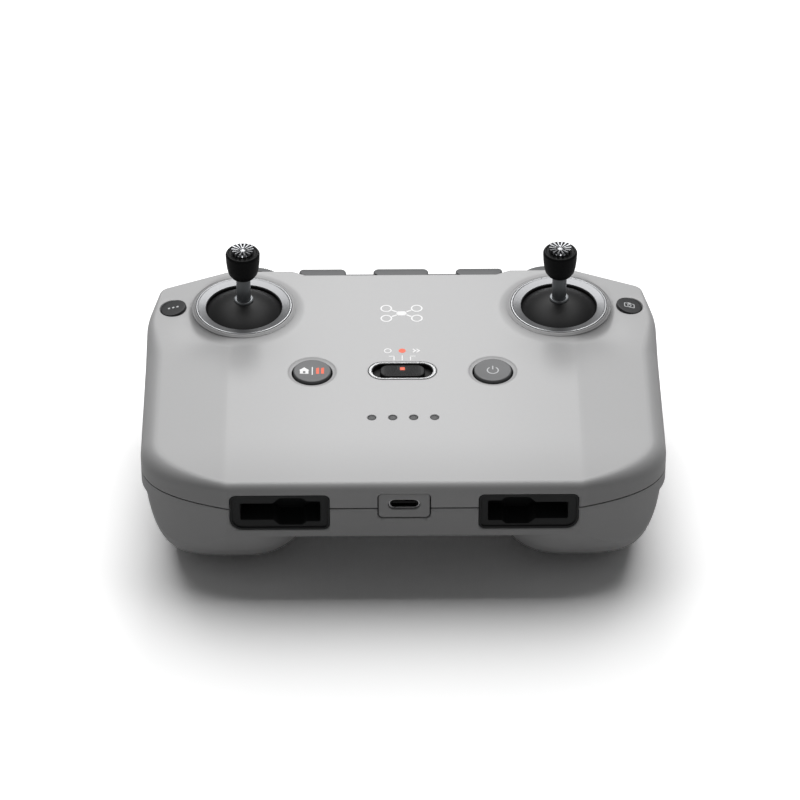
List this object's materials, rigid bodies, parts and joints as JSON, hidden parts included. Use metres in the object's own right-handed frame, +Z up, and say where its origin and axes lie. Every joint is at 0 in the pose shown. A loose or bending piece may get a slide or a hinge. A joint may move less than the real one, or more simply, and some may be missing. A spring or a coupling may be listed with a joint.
{
  "type": "radio transmitter controller",
  "caption": "Flat handheld drone remote on two rounded grips, with spring-centred sticks, top buttons, a mode slider, stick storage slots and a pull-out phone clamp.",
  "frame": {"origin": "centre of the bounding box in plan, on the surface that the two grips rest on", "axes": "+X to the user's right along the width, +Y away from the user, +Z up"},
  "size_m": [0.15, 0.1062, 0.0659],
  "materials": {
    "light_shell": "fine matt grain",
    "dark_shell": "fine matt grain",
    "steel": "bright",
    "ring": "glossy grey",
    "frame": "moulded",
    "white": "moulded",
    "satin_black": "satin",
    "shaft": "dark anodised",
    "crown": "machined",
    "button": "satin",
    "gloss_grey": "glossy",
    "pocket": "dark",
    "control": "fine matt grain",
    "light": "smoked",
    "board": "solder mask",
    "cell": "plastic sleeve",
    "rubber": "matt"
  },
  "bodies": {
    "housing": {"upper_shell": "light_shell", "lower_shell": "dark_shell", "usb_port_bezel": "dark_shell", "usb_c_shell": "steel", "usb_c_tongue": "satin_black", "home_pause_switch": "steel", "power_switch": "steel", "custom_switch": "steel", "camera_switch": "steel", "mode_switch_well": "gloss_grey", "mode_switch_body": "steel", "status_light_pipe": "light", "gimbal_dial_axle": "steel", "shutter_switch": "steel", "main_circuit_board": "board", "phone_slot_pad": "rubber", "case_screw_1": "steel", "case_screw_2": "steel", "case_screw_3": "steel", "case_screw_4": "steel", "stick_slot_liner_left": "pocket", "stick_trim_ring_left": "ring", "gimbal_frame_left": "frame", "battery_cell_left": "cell", "stick_slot_liner_right": "pocket", "stick_trim_ring_right": "ring", "gimbal_frame_right": "frame", "battery_cell_right": "cell"},
    "home_button": {"home_pause_button": "button"},
    "power_key": {"power_button": "button"},
    "custom_key": {"custom_button": "satin_black"},
    "camera_key": {"camera_button": "satin_black"},
    "mode_slider": {"mode_switch_slider": "satin_black"},
    "dial": {"gimbal_dial": "control"},
    "shutter": {"shutter_button": "control"},
    "phone_clamp": {"clamp_plate": "control", "clamp_bar": "control", "clamp_pad_left": "rubber", "clamp_pad_right": "rubber", "antenna_left": "board", "antenna_right": "board"},
    "left_yoke": {"gimbal_yoke_left": "white"},
    "left_stick": {"gimbal_hub_left": "white", "stick_dome_left": "satin_black", "control_stick_left": "shaft", "stick_crown_left": "crown"},
    "right_yoke": {"gimbal_yoke_right": "white"},
    "right_stick": {"gimbal_hub_right": "white", "stick_dome_right": "satin_black", "control_stick_right": "shaft", "stick_crown_right": "crown"}
  },
  "joints": [
    {"name": "left_stick_roll", "type": "hinge", "parent": "housing", "child": "left_yoke", "pos_m": [-0.0465, 0.0292, 0.0308], "axis": [0, 1, 0], "range_deg": [-16, 16], "stiffness_Nm_per_rad": 0.08},
    {"name": "left_stick_pitch", "type": "hinge", "parent": "left_yoke", "child": "left_stick", "pos_m": [-0.0465, 0.0292, 0.0308], "axis": [1, 0, 0], "range_deg": [-16, 16], "stiffness_Nm_per_rad": 0.08},
    {"name": "right_stick_roll", "type": "hinge", "parent": "housing", "child": "right_yoke", "pos_m": [0.0465, 0.0292, 0.0308], "axis": [0, 1, 0], "range_deg": [-16, 16], "stiffness_Nm_per_rad": 0.08},
    {"name": "right_stick_pitch", "type": "hinge", "parent": "right_yoke", "child": "right_stick", "pos_m": [0.0465, 0.0292, 0.0308], "axis": [1, 0, 0], "range_deg": [-16, 16], "stiffness_Nm_per_rad": 0.08},
    {"name": "home_pause_press", "type": "slide", "parent": "housing", "child": "home_button", "axis": [0, 0, -1], "range_m": [0, 0.0006], "stiffness_N_per_m": 600, "springref_m": -0.0005},
    {"name": "power_press", "type": "slide", "parent": "housing", "child": "power_key", "axis": [0, 0, -1], "range_m": [0, 0.0006], "stiffness_N_per_m": 600, "springref_m": -0.0005},
    {"name": "custom_press", "type": "slide", "parent": "housing", "child": "custom_key", "axis": [0.2419, 0, -0.9703], "range_m": [0, 0.0006], "stiffness_N_per_m": 600, "springref_m": -0.0005},
    {"name": "camera_press", "type": "slide", "parent": "housing", "child": "camera_key", "axis": [-0.2419, 0, -0.9703], "range_m": [0, 0.0006], "stiffness_N_per_m": 600, "springref_m": -0.0005},
    {"name": "shutter_press", "type": "slide", "parent": "housing", "child": "shutter", "axis": [0, -1, 0], "range_m": [0, 0.0006], "stiffness_N_per_m": 600, "springref_m": -0.0005},
    {"name": "clamp_pull", "type": "slide", "parent": "housing", "child": "phone_clamp", "axis": [0, 1, 0], "range_m": [0, 0.076], "stiffness_N_per_m": 20, "springref_m": -0.05},
    {"name": "mode_slide", "type": "slide", "parent": "housing", "child": "mode_slider", "axis": [1, 0, 0], "range_m": [-0.002, 0.002]},
    {"name": "dial_turn", "type": "hinge", "parent": "housing", "child": "dial", "pos_m": [-0.0436, 0.0442, 0.0415], "axis": [0, 0, 1], "range_deg": [-18, 18], "stiffness_Nm_per_rad": 0.01}
  ]
}
